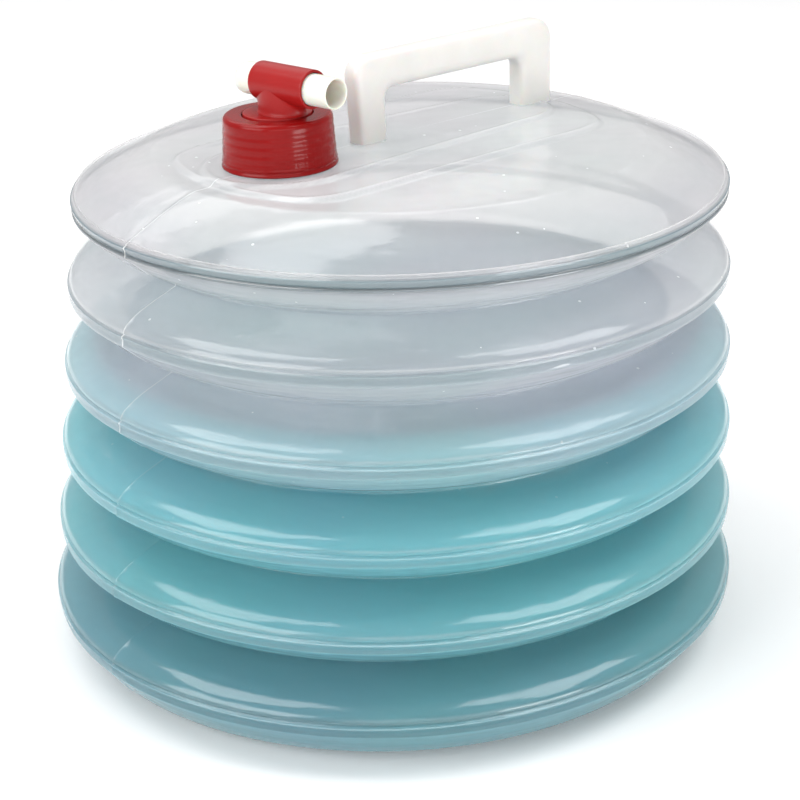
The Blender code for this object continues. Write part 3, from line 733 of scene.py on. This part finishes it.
# %% [markdown]
# ## The base and the dome
#
# The base is the lower end of the same line, turned the same way. The dome is turned too, but two
# shallow pads rise from it along the handle, which a turned line can't give. A pad is described by
# how far a point lies inside its outline: a strip with rounded corners for the wide pad, and a
# tapered strip, round at both ends, for the narrow one around the neck. The height then climbs a
# soft step at that outline.

# %% Make the base and the dome
PANEL_WALL = 0.0014
DOME_COLUMNS = 300
DOME_DENT = 0.0004
FLAT_TOP_RADIUS = 0.098
FLAT_TOP_SPACING = 0.0013
NECK_OFFSET = 0.0600
OUTER_PAD_RADIUS = 0.0890
OUTER_PAD_HALF_WIDTH = 0.0490
OUTER_PAD_CORNER = 0.0140
OUTER_PAD_SHIFT = -0.0035
OUTER_PAD_STEP = 0.0012
INNER_PAD_NECK_RADIUS = 0.0305
INNER_PAD_FAR_RADIUS = 0.0230
INNER_PAD_LENGTH = 0.1160
INNER_PAD_STEP = 0.0008
PAD_EDGE_WIDTH = 0.0026
PAD_WELT = 0.0005
PAD_WELT_WIDTH = 0.0012
NECK_RADIUS = 0.0175
NECK_OPENING = NECK_RADIUS - 0.0012

handle_direction = np.array([math.cos(HANDLE_TURN), math.sin(HANDLE_TURN)])
neck_place = np.array([STACK_LEAN, 0.0]) - NECK_OFFSET * handle_direction


def soft_step(inside, width):
    """0 outside, 1 inside, easing over a width."""
    share = np.clip(inside / width + 0.5, 0, 1)
    return share * share * (3 - 2 * share)


def outer_pad_inside(u, v):
    """How far a point lies inside a strip that a circle ends, with rounded corners."""
    side = np.abs(v) - OUTER_PAD_HALF_WIDTH
    end = np.hypot(u - OUTER_PAD_SHIFT, v) - OUTER_PAD_RADIUS
    near = np.clip(OUTER_PAD_CORNER - np.abs(side - end), 0, None)
    return -(np.maximum(side, end) + near ** 2 / (4 * OUTER_PAD_CORNER))


def inner_pad_inside(u, v):
    """How far a point lies inside a strip that narrows evenly from the neck to the far foot."""
    along = np.clip((u + NECK_OFFSET) / INNER_PAD_LENGTH, 0, 1)
    radius = INNER_PAD_NECK_RADIUS + (INNER_PAD_FAR_RADIUS - INNER_PAD_NECK_RADIUS) * along
    return radius - np.hypot(u + NECK_OFFSET - INNER_PAD_LENGTH * along, v)


def pad_height(x, y):
    """Rise of the two pads over the dome, each a soft step with a bell-shaped welt on its edge."""
    u = x * handle_direction[0] + y * handle_direction[1]
    v = y * handle_direction[0] - x * handle_direction[1]
    outer, inner = outer_pad_inside(u, v), inner_pad_inside(u, v)
    rise = OUTER_PAD_STEP * soft_step(outer, PAD_EDGE_WIDTH)
    rise = rise + INNER_PAD_STEP * soft_step(inner, PAD_EDGE_WIDTH)
    for inside in (outer, inner):
        rise = rise + PAD_WELT * np.exp(-((inside - PAD_WELT_WIDTH) / PAD_WELT_WIDTH) ** 2)
    return rise


above_head = outline[:head + 1]
on_top = above_head[:, 0] < FLAT_TOP_RADIUS
flat_top = resample(above_head[on_top], FLAT_TOP_SPACING)
dome_line = np.vstack([flat_top, thin_out(above_head[~on_top], 0.0020, 2.6)])
dome_angles = around_with_seams(DOME_COLUMNS)
dome_points = shell_points(dome_line, dome_angles, DOME_DENT)
dome_points[..., 2] += pad_height(dome_points[..., 0] - STACK_LEAN, dome_points[..., 1])
dome_faces = grid_faces(len(dome_line), len(dome_angles))
beside_neck = dome_points[..., :2] - neck_place
from_neck = np.hypot(beside_neck[..., 0], beside_neck[..., 1]).ravel()
dome_faces = dome_faces[(from_neck[dome_faces] > NECK_OPENING).any(axis=1)]
dome_marks = shell_marks(dome_line, dome_angles, dome_points)
domed_top = add_piece("domed_top", dome_points, dome_faces, "top", shell_plastic, dome_marks)
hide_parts("top_panel")
give_wall(domed_top, PANEL_WALL)

base_line = thin_out(outline[foot:], 0.0045, 2.6)
base_points = shell_points(base_line, angles, WALL_DENT)
standing = base_line[:, 1] < 0.0008
base_points[standing, :, 2] = 0.0
base_faces = grid_faces(len(base_line), len(angles))
base_marks = shell_marks(base_line, angles, base_points)
base_shell = add_piece("base_shell", base_points, base_faces, "base", shell_plastic, base_marks)
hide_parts("base_panel")
give_wall(base_shell, PANEL_WALL)
print("Dome grid:", len(dome_line), "by", len(dome_angles))
print("Base grid:", len(base_line), "by", len(angles))

# %% [markdown]
# ## The water
#
# The water fills the lower folds and the base, so it has the shell's inner side for its outline
# and a level top. It is made in two pieces: one in the folds and one in the base.

# %% Make the water
WATER_GAP = 0.0016
WATER_DENT = 0.0004
SURFACE_SHARES = (0.0, 0.6, 0.96, 0.99, 0.997)


def pulled_in(line, distance):
    """A line moved towards the inside of the shell along its own normals."""
    slope = np.gradient(line, axis=0)
    slope /= np.hypot(*slope.T)[:, None]
    return line + distance * np.column_stack([slope[:, 1], -slope[:, 0]])


def add_water(name, line):
    """A piece of the water: a line turned about the axis, at every second angle of the wall."""
    points = shell_points(line, angles[::2], WATER_DENT)
    faces = grid_faces(len(line), len(angles[::2]))
    return add_piece(name, points, faces, "base", water_body_finish, {"rest_place": points})


inner_line = pulled_in(outline, WATER_GAP)
wet_wall = inner_line[head:foot + 1]
wet_wall = wet_wall[wet_wall[:, 1] < WATER_LEVEL]
surface = np.array([[wet_wall[0, 0] * share, WATER_LEVEL] for share in SURFACE_SHARES])
fold_water = add_water("water_in_folds", np.vstack([surface, thin_out(wet_wall, 0.0050, 2.0)]))
wet_base = inner_line[foot:-1]
middle = [[0.0, wet_base[-1, 1]]]
add_water("water_in_base", np.vstack([thin_out(wet_base, 0.0060, 2.0), middle]))
print("Water level over the floor:", WATER_LEVEL)

# %% [markdown]
# ## The carry handle
#
# The handle is a flat arch with soft edges, moulded in one with the dome. It could be an extruded
# outline with rounded edges, but its legs differ in width and melt into the grip. So its outer
# line and the line of the finger gap are walked together, and a rounded rectangle spans every pair
# of points. A superellipse, a circle with its sines and cosines raised to a small power, gives
# that section.

# %% Make the carry handle
HANDLE_FOOT = CREST_HEIGHT + OUTER_PAD_STEP + INNER_PAD_STEP
HANDLE_THICKNESS = 0.0100
HANDLE_NEAR_END = -0.0227
HANDLE_LENGTH = 0.1067
NEAR_LEG_WIDTH = 0.0138
FAR_LEG_WIDTH = 0.0185
GRIP_DEPTH = 0.0145
HANDLE_HEIGHT = 0.0355
HANDLE_CORNER = 0.0085
NEAR_LEG_FLARE = 0.0018
FINGER_GAP_CORNER = 0.0045
SECTION_POWER = 0.50
HANDLE_SUNK = 0.0006
ARCH_STEPS = 12
SECTION_COLUMNS = 48
WHITE = (0.74, 0.73, 0.70)


def rounded_arch(left, right, foot_height, top, corner, steps):
    """Up one leg, around two round corners and down the other leg, as points along and up."""
    quarter = np.linspace(0, np.pi / 2, steps)
    cosine, sine = corner * np.cos(quarter), corner * np.sin(quarter)
    upright = np.linspace(foot_height, top - corner, steps)
    level = np.linspace(left + corner, right - corner, 2 * steps)
    first = np.column_stack([np.full(steps, left), upright])
    bend = np.column_stack([left + corner - cosine, top - corner + sine])
    grip = np.column_stack([level, np.full(2 * steps, top)])
    last_bend = np.column_stack([right - corner + sine, top - corner + cosine])
    last = np.column_stack([np.full(steps, right), upright[::-1]])
    return np.vstack([first, bend[1:], grip[1:], last_bend[1:], last[1:]])


def handle_points(outer, inner, thickness, columns):
    """A superellipse between each pair of points of the outer and the inner line."""
    turn = np.arange(columns) * 2 * np.pi / columns
    cosine, sine = np.cos(turn), np.sin(turn)
    reach = np.sign(cosine) * np.abs(cosine) ** SECTION_POWER
    side = np.sign(sine) * np.abs(sine) ** SECTION_POWER * thickness / 2
    centre, half = (outer + inner) / 2, (outer - inner) / 2
    u = centre[:, :1] + half[:, :1] * reach
    z = centre[:, 1:] + half[:, 1:] * reach
    v = np.broadcast_to(side, u.shape)
    x = STACK_LEAN + u * handle_direction[0] - v * handle_direction[1]
    y = u * handle_direction[1] + v * handle_direction[0]
    return np.stack([x, y, z], axis=-1)


crown = HANDLE_FOOT + HANDLE_HEIGHT
far_end = HANDLE_NEAR_END + HANDLE_LENGTH
sunk = HANDLE_FOOT - HANDLE_SUNK
outer_arch = rounded_arch(HANDLE_NEAR_END, far_end, sunk, crown, HANDLE_CORNER, ARCH_STEPS)
near_side = soft_step(HANDLE_NEAR_END + NEAR_LEG_WIDTH - outer_arch[:, 0], NEAR_LEG_WIDTH)
upper_half = soft_step(outer_arch[:, 1] - sunk - HANDLE_HEIGHT / 2, HANDLE_HEIGHT)
outer_arch[:, 0] -= NEAR_LEG_FLARE * near_side * upper_half
gap_ends = (HANDLE_NEAR_END + NEAR_LEG_WIDTH, far_end - FAR_LEG_WIDTH)
inner_arch = rounded_arch(*gap_ends, sunk, crown - GRIP_DEPTH, FINGER_GAP_CORNER, ARCH_STEPS)
arch_points = handle_points(outer_arch, inner_arch, HANDLE_THICKNESS, SECTION_COLUMNS)
arch_faces = grid_faces(len(outer_arch), SECTION_COLUMNS)[:, ::-1]


def soft_plastic(name, colour, roughness, scatter, grain, shine=0.5):
    """Solid moulded plastic: one tone, faintly clouded, with a soft gloss and light inside it."""
    material, tree = node_material(name)
    link = tree.links.new
    place = add_node(tree, "ShaderNodeTexCoord").outputs["Object"]
    darker = tuple(value * 0.92 for value in colour)
    lighter = tuple(min(1, value * 1.08) for value in colour)
    tone = blended(tree, noise(tree, place, 1 / 60, 3.0), darker, lighter)
    bump = add_node(tree, "ShaderNodeBump", Strength=grain, Distance=0.0002)
    link(noise(tree, place, 1 / 900), bump.inputs["Height"])
    gloss = {"Roughness": roughness, "IOR": 1.5, "Specular_IOR_Level": shine}
    body = add_node(tree, "ShaderNodeBsdfPrincipled", Subsurface_Weight=scatter,
                    Subsurface_Scale=0.004, **gloss)
    link(tone, body.inputs["Base Color"])
    link(bump.outputs[0], body.inputs["Normal"])
    link(body.outputs[0], add_node(tree, "ShaderNodeOutputMaterial").inputs[0])
    return material


white_plastic = soft_plastic("white_handle_plastic", WHITE, 0.32, 0.35, 0.10)
arch = add_piece("handle_arch", arch_points, arch_faces, "top", white_plastic)
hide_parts("carry_handle")
print("Handle crown over the floor:", round(crown, 4))

# %% [markdown]
# ## Neck, screw cap and tap
#
# These are turned parts. The neck carries a screw thread: its radius swells where a point lies on
# the helix, which is a wave in the height that slides on by one pitch for each turn. The cap's
# skirt widens evenly towards its foot. It has faint upright ribs, and faint rings where the
# plastic has shrunk over the thread inside, which break a highlight into the rungs of a ladder.
# The red plastic is glossy on the cap and a little duller on the tap, and its darker red on the
# cap is painted shade.

# %% Turned parts
# One red plastic in two copies: the cap's darker red is painted shade, the tap's brighter red the
# lit copy.
CAP_RED_SHADED = (0.24, 0.004, 0.004)
TAP_RED_LIT = (0.31, 0.007, 0.007)
IVORY = (0.74, 0.76, 0.68)
TAP_TURN = math.radians(-43)
STEM_OFFSET = 0.0026

tap_direction = np.array([math.cos(TAP_TURN), math.sin(TAP_TURN)])
stem_place = neck_place + STEM_OFFSET * tap_direction


def turned_points(line, columns, swell=None):
    """A line of radii and heights turned about the vertical, its radius changed by a formula."""
    angle = np.arange(columns) * 2 * np.pi / columns
    radius, height = line[:, 0][:, None], line[:, 1][:, None]
    if swell is not None:
        radius = radius + swell(radius, height, angle)
    x, y = np.broadcast_arrays(radius * np.cos(angle), radius * np.sin(angle))
    return np.stack([x, y, np.broadcast_to(height, x.shape)], axis=-1)


def along_barrel(points, height):
    """Lay a turned part along the barrel: its axis becomes the tap's direction."""
    forward = np.array([*tap_direction, 0.0])
    across = np.array([-tap_direction[1], tap_direction[0], 0.0])
    up = np.array([0.0, 0.0, 1.0])
    origin = np.array([*stem_place, height])
    return origin + points[..., 2:] * forward + points[..., :1] * -up + points[..., 1:2] * across


def soft_line(points, reach=0.0003):
    """A turned part's line with its corners slightly rounded, then thinned out."""
    return thin_out(soften(np.array(points), 0.00008, reach), 0.0020, 2.2)


INNER_PAD_HEIGHT = HANDLE_FOOT
NECK_TOP = INNER_PAD_HEIGHT + 0.0126
NECK_BORE = 0.0155
NECK_COLUMNS = 96
THREAD_PITCH = 0.0033
THREAD_HEIGHT = 0.0011
THREAD_START = 0.0010
THREAD_END = 0.0105
THREAD_FADE = 0.0012
RIDGE_HALF_WIDTH = 0.22


def thread(radius, height, angle):
    """A ridge that climbs by one pitch in each turn, on the outer side only."""
    phase = ((height - NECK_TOP) / THREAD_PITCH - angle / (2 * np.pi)) % 1.0
    ridge = np.clip(1 - np.abs(phase - 0.5) / RIDGE_HALF_WIDTH, 0, 1)
    begun = np.clip((NECK_TOP - THREAD_START - height) / THREAD_FADE, 0, 1)
    left = np.clip((height - NECK_TOP + THREAD_END) / THREAD_FADE, 0, 1)
    return THREAD_HEIGHT * ridge * (begun * left) * (radius > NECK_RADIUS - 0.0006)


neck_line = np.array([
    (NECK_BORE, INNER_PAD_HEIGHT - 0.0030),
    (NECK_BORE, NECK_TOP),
    (NECK_RADIUS, NECK_TOP),
    (NECK_RADIUS, INNER_PAD_HEIGHT + 0.0012),
    (NECK_RADIUS + 0.0014, INNER_PAD_HEIGHT - 0.0002),
])
neck_line = resample(soften(neck_line, 0.0001, 0.0003), 0.00042)
neck_points = turned_points(neck_line, NECK_COLUMNS, thread) + [*neck_place, 0]
neck_faces = grid_faces(len(neck_line), NECK_COLUMNS)
neck_marks = {"rest_place": neck_points}
neck = add_piece("threaded_neck", neck_points, neck_faces, "top", shell_plastic, neck_marks)

CAP_TOP = NECK_TOP + 0.0079
CAP_CEILING = CAP_TOP - 0.0034
CAP_FOOT = NECK_TOP - 0.0120
CAP_RADIUS = 0.0213
CAP_HOLE = 0.0138
CAP_SHOULDER = 0.0020
CAP_WALL = 0.0020
CAP_FLARE = 0.0013
CAP_COLUMNS = 432
SKIRT_SWELL = 0.00070
SWELL_FOOT, SWELL_HEAD = CAP_FOOT + 0.0016, CAP_FOOT + 0.0160
SWELL_FOOT_FADE, SWELL_HEAD_FADE = 0.0008, 0.0120
RIB_COUNT = 36
RIB_HEIGHT = 0.00005
RIB_SHARE, RIB_EDGE = 0.90, 0.12
RING_HEIGHT = 0.00006
RINGS_BELOW_TOP = 0.0030


def cap_ribs(radius, height, angle):
    """On the skirt: a swell that grows evenly downwards, upright ribs and a cosine of rings."""
    skirt = (radius > CAP_RADIUS - 0.0009) & (radius < CAP_RADIUS + 0.0016)
    band = np.clip((height - SWELL_FOOT) / SWELL_FOOT_FADE, 0, 1)
    band = band * np.clip((SWELL_HEAD - height) / SWELL_HEAD_FADE, 0, 1)
    phase = np.abs((angle * RIB_COUNT / (2 * np.pi)) % 1.0 - 0.5) * 2
    rib = np.clip((RIB_SHARE - phase) / RIB_EDGE, 0, 1)
    rings = RING_HEIGHT * np.cos(2 * np.pi * (height - CAP_TOP) / THREAD_PITCH)
    rings = rings * (height < CAP_TOP - RINGS_BELOW_TOP)
    return np.where(skirt, (SKIRT_SWELL + RIB_HEIGHT * rib) * band + rings, 0)


quarter = np.linspace(0, np.pi / 2, 6)
shoulder_radius = CAP_RADIUS - CAP_SHOULDER * (1 - np.sin(quarter))
shoulder_height = CAP_TOP - CAP_SHOULDER * (1 - np.cos(quarter))
cap_line = np.array([
    (CAP_HOLE, CAP_CEILING),
    (CAP_HOLE, CAP_TOP),
    *zip(shoulder_radius, shoulder_height),
    (CAP_RADIUS, CAP_FOOT + 0.0030),
    (CAP_RADIUS + CAP_FLARE, CAP_FOOT + 0.0008),
    (CAP_RADIUS + CAP_FLARE, CAP_FOOT),
    (CAP_RADIUS - CAP_WALL, CAP_FOOT),
    (CAP_RADIUS - CAP_WALL, CAP_CEILING),
    (CAP_HOLE, CAP_CEILING),
])
cap_line = resample(soften(cap_line, 0.0001, 0.00028), 0.00050)
cap_points = turned_points(cap_line, CAP_COLUMNS, cap_ribs) + [*neck_place, 0]
cap_faces = grid_faces(len(cap_line), CAP_COLUMNS)
red_cap_plastic = soft_plastic("red_cap_plastic", CAP_RED_SHADED, 0.20, 0.0, 0.05, shine=0.20)
cap = add_piece("screw_cap", cap_points, cap_faces, "cap", red_cap_plastic)
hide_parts("ring_cap")
print("Cap from", round(CAP_FOOT, 4), "to", round(CAP_TOP, 4))

# %% [markdown]
# ## The tap
#
# The tap is one moulding: a flange that the cap holds down, a round boss in the cap's opening, an
# oval stem, and a barrel across it. The stem ends in a saddle: its upper edge follows the barrel
# by Pythagoras' rule, and small fillets spread both of its ends.

# %% Tap: flange, stem and barrel
FLANGE_TOP = CAP_TOP - 0.0038
BOSS_TOP = FLANGE_TOP + 0.0044
FLANGE_FOOT = FLANGE_TOP - 0.0020
FLANGE_RADIUS = 0.0186
BOSS_RADIUS = CAP_HOLE - 0.0004
WATER_WAY = 0.0042
BARREL_AXIS = FLANGE_FOOT + 0.0174
BARREL_RADIUS = 0.0074
BARREL_BORE = 0.00625
BARREL_BACK = -0.0104
BARREL_FRONT = 0.0176
STEM_HALF_LENGTH = 0.0107
STEM_HALF_WIDTH = 0.0073
STEM_SUNK, STEM_OVERLAP = 0.0001, 0.0003
FOOT_FILLET, FOOT_FADE = 0.0008, 0.0005
HEAD_FILLET, HEAD_FADE = 0.0016, 0.0008
STEM_ROWS = 22
TAP_COLUMNS = 72

flange_line = soft_line([
    (WATER_WAY, BOSS_TOP),
    (BOSS_RADIUS, BOSS_TOP),
    (BOSS_RADIUS, FLANGE_TOP),
    (FLANGE_RADIUS, FLANGE_TOP),
    (FLANGE_RADIUS, FLANGE_FOOT),
    (WATER_WAY, FLANGE_FOOT),
    (WATER_WAY, BOSS_TOP),
], 0.00030)
flange_points = turned_points(flange_line, TAP_COLUMNS) + [*neck_place, 0]
flange_faces = grid_faces(len(flange_line), TAP_COLUMNS)
red_tap_plastic = soft_plastic("red_tap_plastic", TAP_RED_LIT, 0.34, 0.0, 0.10, shine=0.28)
flange = add_piece("tap_flange", flange_points, flange_faces, "tap", red_tap_plastic)
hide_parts("tap_body")


def stem_surface(rows, columns):
    """An oval tube whose upper edge follows the barrel across it, with a fillet at both ends."""
    climb = np.linspace(0, 1, rows)[:, None]
    angle = np.arange(columns) * 2 * np.pi / columns
    lowest = BOSS_TOP - STEM_SUNK
    across = STEM_HALF_WIDTH * np.sin(angle)
    barrel = np.sqrt(np.clip(BARREL_RADIUS ** 2 - across ** 2, 0, None))
    highest = BARREL_AXIS - barrel + STEM_OVERLAP
    height = lowest + (highest - lowest) * climb
    at_foot = FOOT_FILLET * np.exp(-(height - lowest) / FOOT_FADE)
    at_head = HEAD_FILLET * np.exp(-(highest - height) / HEAD_FADE) * np.cos(angle) ** 2
    x = (STEM_HALF_LENGTH + at_foot + at_head) * np.cos(angle)
    y = (STEM_HALF_WIDTH + at_foot) * np.sin(angle)
    forward, side = tap_direction, np.array([-tap_direction[1], tap_direction[0]])
    place = stem_place + x[..., None] * forward + y[..., None] * side
    return np.concatenate([place, height[..., None]], axis=-1)


stem_points = stem_surface(STEM_ROWS, TAP_COLUMNS)[::-1]
stem_faces = grid_faces(STEM_ROWS, TAP_COLUMNS)
stem = add_piece("tap_stem", stem_points, stem_faces, "tap", red_tap_plastic)

barrel_line = soft_line([
    (BARREL_BORE, BARREL_BACK),
    (BARREL_BORE, BARREL_FRONT),
    (BARREL_RADIUS, BARREL_FRONT),
    (BARREL_RADIUS, BARREL_BACK),
    (BARREL_BORE, BARREL_BACK),
], 0.00022)
barrel_points = along_barrel(turned_points(barrel_line, TAP_COLUMNS), BARREL_AXIS)
barrel_faces = grid_faces(len(barrel_line), TAP_COLUMNS)
barrel = add_piece("tap_barrel", barrel_points, barrel_faces, "tap", red_tap_plastic)

# %% [markdown]
# ## The spindle
#
# The spindle lies in the barrel: a tube from its open spout to its closed knob. Its line runs from
# the bore's end out to the spout's thinned lip, back along the tube's outside, and over the
# rounded knob. Its off-white plastic lets a little light in.

# %% Spindle: bore, lip, tube and knob
SPINDLE_LINE = [
    (0.0, 0.0010), (0.0050, 0.0010), (0.0050, 0.0280), (0.0054, 0.0295), (0.0060, 0.0295),
    (0.0060, -0.0107), (0.0063, -0.0108), (0.0063, -0.0176), (0.0057, -0.0195),
    (0.0035, -0.0204), (0.0, -0.0204),
]

spindle_line = soft_line(SPINDLE_LINE, 0.00022)
spindle_points = along_barrel(turned_points(spindle_line, TAP_COLUMNS), BARREL_AXIS)
spindle_faces = grid_faces(len(spindle_line), TAP_COLUMNS)
ivory_plastic = soft_plastic("ivory_spindle_plastic", IVORY, 0.28, 0.35, 0.06)
spindle = add_piece("spindle_tube", spindle_points, spindle_faces, "spindle", ivory_plastic)
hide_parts("valve_spindle")
print("Barrel axis over the floor:", round(BARREL_AXIS, 4))

# %% [markdown]
# ## Rubber parts
#
# The washer and the two rings are hidden in the cap and the tap. Their solids have the right
# shape already, so they only get a finish: black rubber with a dull, slightly mottled skin.

# %% Finish the rubber parts
BLACK = (0.022, 0.022, 0.024)

rubber = soft_plastic("black_rubber_skin", BLACK, 0.62, 0.0, 0.35)
for name in ("neck_washer", "spout_seal", "knob_seal"):
    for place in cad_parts[name].material_slots:
        place.material = rubber
print("Rubber finish nodes:", len(rubber.node_tree.nodes))

# %% [markdown]
# ## Meshes of their own for the soft pieces
#
# The wall can't follow a joint as a rigid piece does. Here the wall and the water in the folds
# only get meshes of their own.

# %% Give the wall and the water in the folds meshes of their own
for piece in (folded_wall, fold_water):
    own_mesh(piece)
